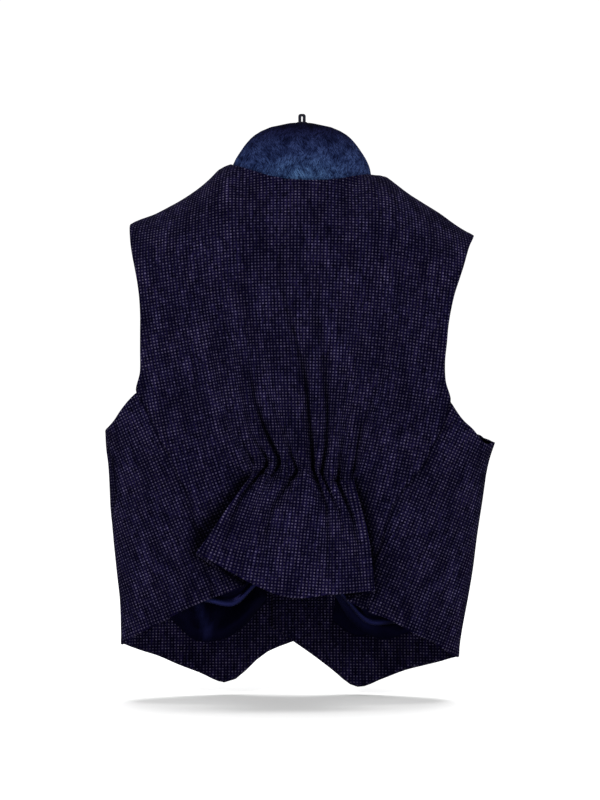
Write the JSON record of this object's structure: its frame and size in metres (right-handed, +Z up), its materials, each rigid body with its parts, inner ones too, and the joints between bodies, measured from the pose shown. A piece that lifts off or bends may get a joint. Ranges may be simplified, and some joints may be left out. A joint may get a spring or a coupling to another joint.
{
  "type": "tailored waistcoat on a hanging bust form",
  "caption": "Sleeveless tailored waistcoat with an elastic-gathered back waist and flared tail, buttoned front with pointed hem, on a domed flocked bust form that hangs by a small loop.",
  "frame": {"origin": "middle of the eye in the loop on top of the form, where it hangs", "axes": "+Z up, -Y towards the back of the waistcoat, +Y towards its buttoned front, +X towards the wearer's right side"},
  "size_m": [0.4474, 0.1696, 0.6642],
  "materials": {
    "suiting": "dry wool suiting with a fine square grid of light dots",
    "lining": "satin",
    "button": "polished",
    "flock": "short flock over a moulded shell",
    "metal": "dark, satin"
  },
  "bodies": {
    "root": {"back_centre": "suiting", "back_side_left": "suiting", "back_side_right": "suiting", "front_left": "suiting", "front_right": "suiting", "facing_left": "suiting", "facing_right": "suiting", "lining_front_left": "lining", "lining_front_right": "lining", "lining_back": "lining", "button_1": "button", "button_2": "button", "button_3": "button", "button_4": "button", "button_5": "button", "bust_form": "flock", "hang_stud": "metal"}
  },
  "joints": []
}
